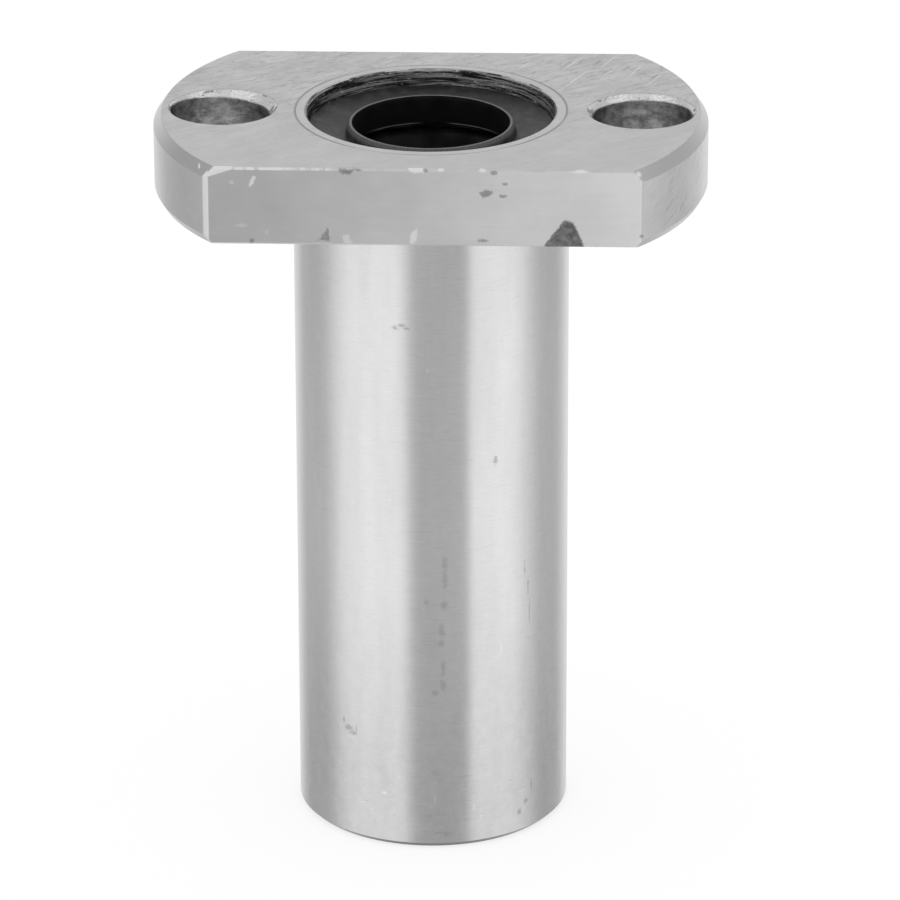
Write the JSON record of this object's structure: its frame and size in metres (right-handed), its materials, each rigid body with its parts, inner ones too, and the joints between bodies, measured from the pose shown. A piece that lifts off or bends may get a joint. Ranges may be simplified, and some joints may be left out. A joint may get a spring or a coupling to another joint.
{
  "type": "oval flange linear ball bearing",
  "caption": "Long linear ball bearing for a round shaft, with an oval flange flush with one end, counterbored bolt holes, rubber wiper seals and recirculating balls in cages.",
  "frame": {"origin": "centre of the tube's plain end face, the lowest point of the part as it stands", "axes": "+Z along the shaft axis from the plain end to the flange, X along the line through the two bolt holes, Y square to the flange's two flats"},
  "size_m": [0.042, 0.027, 0.057],
  "materials": {
    "flange_steel": "milled and turned bare steel, matt, with nicks at the edges",
    "sleeve_steel": "hardened and centreless ground steel, satin",
    "seal_rubber": "moulded nitrile rubber, satin black",
    "spring_steel": "oiled dark spring steel",
    "cage_resin": "moulded dark resin",
    "ball_steel": "polished hardened steel"
  },
  "bodies": {
    "root": {"flange": "flange_steel", "outer_sleeve": "sleeve_steel", "upper_seal": "seal_rubber", "lower_seal": "seal_rubber", "upper_snap_ring": "spring_steel", "lower_snap_ring": "spring_steel", "upper_cage": "cage_resin", "lower_cage": "cage_resin", "upper_balls_1": "ball_steel", "upper_balls_2": "ball_steel", "upper_balls_3": "ball_steel", "upper_balls_4": "ball_steel", "lower_balls_1": "ball_steel", "lower_balls_2": "ball_steel", "lower_balls_3": "ball_steel", "lower_balls_4": "ball_steel"}
  },
  "joints": []
}
